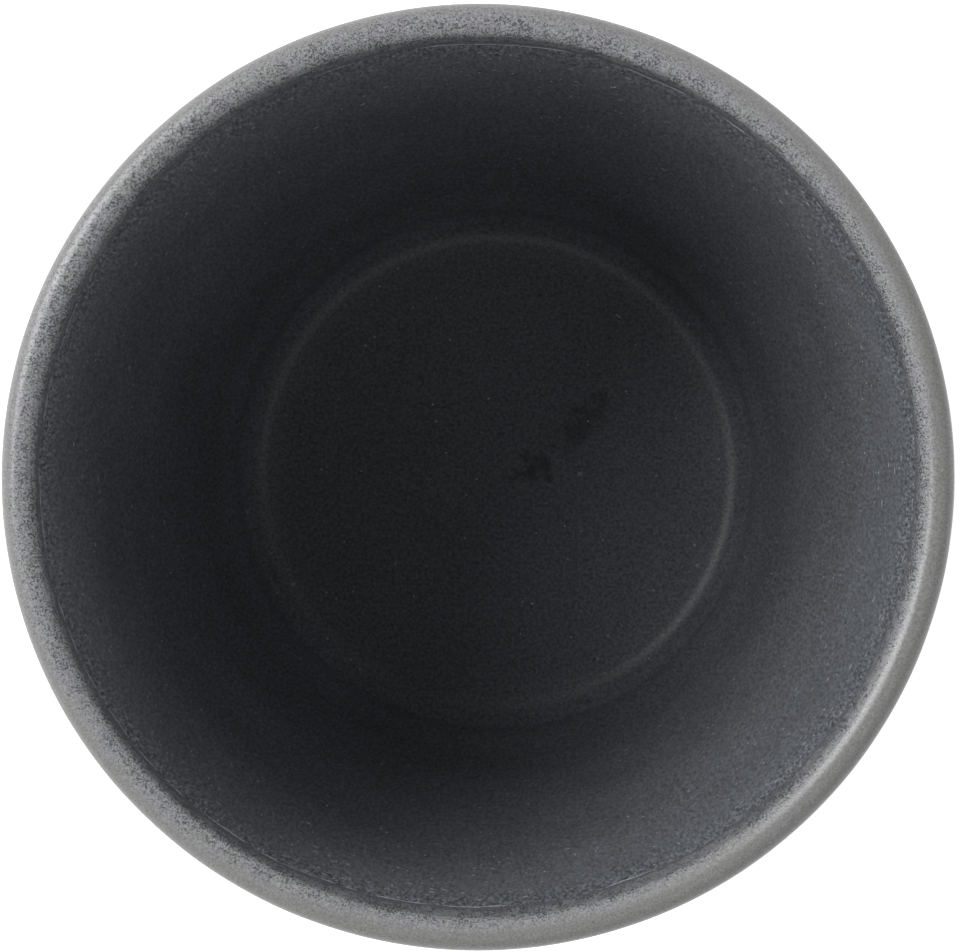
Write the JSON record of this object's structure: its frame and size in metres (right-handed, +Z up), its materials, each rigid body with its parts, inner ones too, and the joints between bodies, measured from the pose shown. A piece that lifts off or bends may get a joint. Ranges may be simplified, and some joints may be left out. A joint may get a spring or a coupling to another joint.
{
  "type": "beaker",
  "caption": "Round handleless beaker with a tapered wall, full round lip and turned foot ring, dark matt glaze inside and thicker grey glaze outside that ends in a bead inside the mouth.",
  "frame": {"origin": "centre of the foot ring's resting plane, on the axis of the pot", "axes": "+Z up along the axis of the pot, from the foot to the mouth; +X and +Y level, and alike because the pot is round"},
  "size_m": [0.086, 0.086, 0.092],
  "materials": {
    "porcelain": "bare fired clay, matt",
    "dark_glaze": "matt, fine grained",
    "grey_glaze": "satin",
    "speckled_glaze": "satin, with dark specks"
  },
  "bodies": {
    "root": {"porcelain_body": "porcelain", "inside_glaze": "dark_glaze", "outside_glaze": "grey_glaze", "rim_glaze": "speckled_glaze", "rim_glaze_bead": "speckled_glaze", "foot_well_glaze": "grey_glaze"}
  },
  "joints": []
}
